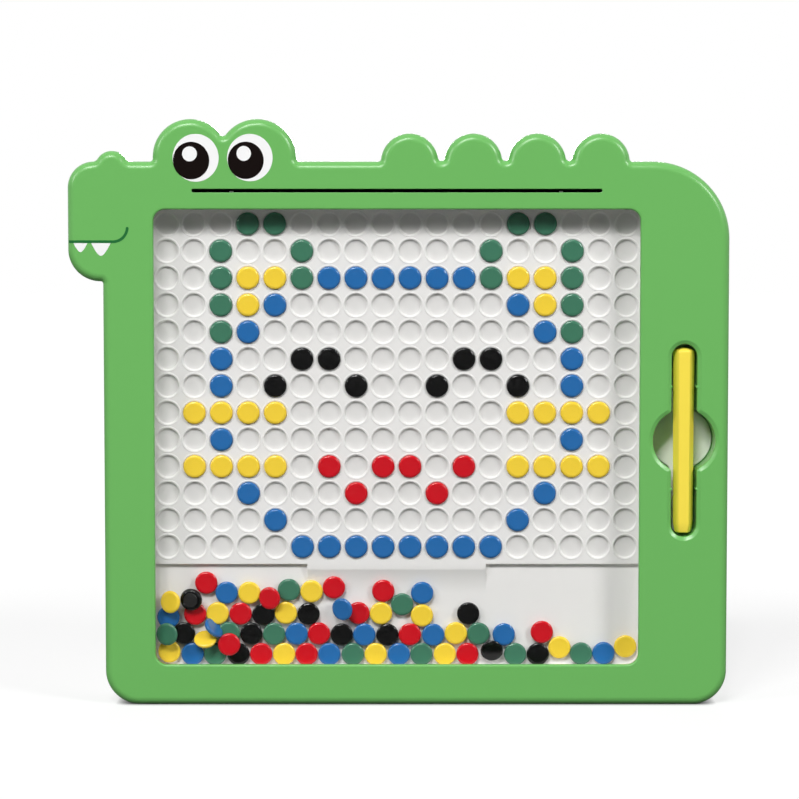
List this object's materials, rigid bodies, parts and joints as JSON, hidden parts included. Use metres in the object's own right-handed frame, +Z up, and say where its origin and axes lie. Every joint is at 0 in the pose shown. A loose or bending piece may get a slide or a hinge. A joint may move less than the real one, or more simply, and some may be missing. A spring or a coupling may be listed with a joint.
{
  "type": "magnetic drawing board",
  "caption": "Upright child's magnetic drawing board in a crocodile-shaped green frame, with a clear pane, a tray of round wells, loose magnetic discs, a card slot and a pen.",
  "frame": {"origin": "middle of the board's width and depth, on the level surface that its lower edge stands on", "axes": "+X to the right seen from the front, +Y to the back, +Z up; the front face looks along -Y"},
  "size_m": [0.318, 0.025, 0.283],
  "materials": {
    "green_shell": "moulded, satin gloss",
    "white_tray": "moulded, satin",
    "white_cover": "moulded, satin",
    "clear_pane": "clear, polished",
    "magnetic_rubber": "dull",
    "yellow_pen": "moulded, satin gloss",
    "magnet_steel": "plated",
    "screw_steel": "plated",
    "black_disc": "moulded, satin gloss",
    "red_disc": "moulded, satin gloss"
  },
  "bodies": {
    "board": {"front_shell": "green_shell", "window_pane": "clear_pane", "well_tray": "white_tray", "magnetic_sheet": "magnetic_rubber", "back_cover": "white_cover", "case_screw_1": "screw_steel", "case_screw_2": "screw_steel", "case_screw_3": "screw_steel", "case_screw_4": "screw_steel", "case_screw_5": "screw_steel", "case_screw_6": "screw_steel", "case_screw_7": "screw_steel", "case_screw_8": "screw_steel"},
    "pen": {"pen_barrel": "yellow_pen", "pen_plug": "yellow_pen", "pen_magnet": "magnet_steel"},
    "eye_disc_1": {"eye_disc_1": "black_disc", "eye_disc_1_slug": "screw_steel"},
    "eye_disc_2": {"eye_disc_2": "black_disc", "eye_disc_2_slug": "screw_steel"},
    "eye_disc_3": {"eye_disc_3": "black_disc", "eye_disc_3_slug": "screw_steel"},
    "eye_disc_4": {"eye_disc_4": "black_disc", "eye_disc_4_slug": "screw_steel"},
    "eye_disc_5": {"eye_disc_5": "black_disc", "eye_disc_5_slug": "screw_steel"},
    "eye_disc_6": {"eye_disc_6": "black_disc", "eye_disc_6_slug": "screw_steel"},
    "eye_disc_7": {"eye_disc_7": "black_disc", "eye_disc_7_slug": "screw_steel"},
    "eye_disc_8": {"eye_disc_8": "black_disc", "eye_disc_8_slug": "screw_steel"},
    "mouth_disc_1": {"mouth_disc_1": "red_disc", "mouth_disc_1_slug": "screw_steel"},
    "mouth_disc_2": {"mouth_disc_2": "red_disc", "mouth_disc_2_slug": "screw_steel"},
    "mouth_disc_3": {"mouth_disc_3": "red_disc", "mouth_disc_3_slug": "screw_steel"},
    "mouth_disc_4": {"mouth_disc_4": "red_disc", "mouth_disc_4_slug": "screw_steel"},
    "mouth_disc_5": {"mouth_disc_5": "red_disc", "mouth_disc_5_slug": "screw_steel"},
    "mouth_disc_6": {"mouth_disc_6": "red_disc", "mouth_disc_6_slug": "screw_steel"}
  },
  "joints": [
    {"name": "pen_pull", "type": "slide", "parent": "board", "child": "pen", "axis": [0, -1, 0], "range_m": [0, 0.04]},
    {"name": "eye_disc_1_lift", "type": "slide", "parent": "board", "child": "eye_disc_1", "axis": [0, -1, 0], "range_m": [0, 0.007]},
    {"name": "eye_disc_2_lift", "type": "slide", "parent": "board", "child": "eye_disc_2", "axis": [0, -1, 0], "range_m": [0, 0.007]},
    {"name": "eye_disc_3_lift", "type": "slide", "parent": "board", "child": "eye_disc_3", "axis": [0, -1, 0], "range_m": [0, 0.007]},
    {"name": "eye_disc_4_lift", "type": "slide", "parent": "board", "child": "eye_disc_4", "axis": [0, -1, 0], "range_m": [0, 0.007]},
    {"name": "eye_disc_5_lift", "type": "slide", "parent": "board", "child": "eye_disc_5", "axis": [0, -1, 0], "range_m": [0, 0.007]},
    {"name": "eye_disc_6_lift", "type": "slide", "parent": "board", "child": "eye_disc_6", "axis": [0, -1, 0], "range_m": [0, 0.007]},
    {"name": "eye_disc_7_lift", "type": "slide", "parent": "board", "child": "eye_disc_7", "axis": [0, -1, 0], "range_m": [0, 0.007]},
    {"name": "eye_disc_8_lift", "type": "slide", "parent": "board", "child": "eye_disc_8", "axis": [0, -1, 0], "range_m": [0, 0.007]},
    {"name": "mouth_disc_1_lift", "type": "slide", "parent": "board", "child": "mouth_disc_1", "axis": [0, -1, 0], "range_m": [0, 0.007]},
    {"name": "mouth_disc_2_lift", "type": "slide", "parent": "board", "child": "mouth_disc_2", "axis": [0, -1, 0], "range_m": [0, 0.007]},
    {"name": "mouth_disc_3_lift", "type": "slide", "parent": "board", "child": "mouth_disc_3", "axis": [0, -1, 0], "range_m": [0, 0.007]},
    {"name": "mouth_disc_4_lift", "type": "slide", "parent": "board", "child": "mouth_disc_4", "axis": [0, -1, 0], "range_m": [0, 0.007]},
    {"name": "mouth_disc_5_lift", "type": "slide", "parent": "board", "child": "mouth_disc_5", "axis": [0, -1, 0], "range_m": [0, 0.007]},
    {"name": "mouth_disc_6_lift", "type": "slide", "parent": "board", "child": "mouth_disc_6", "axis": [0, -1, 0], "range_m": [0, 0.007]}
  ]
}
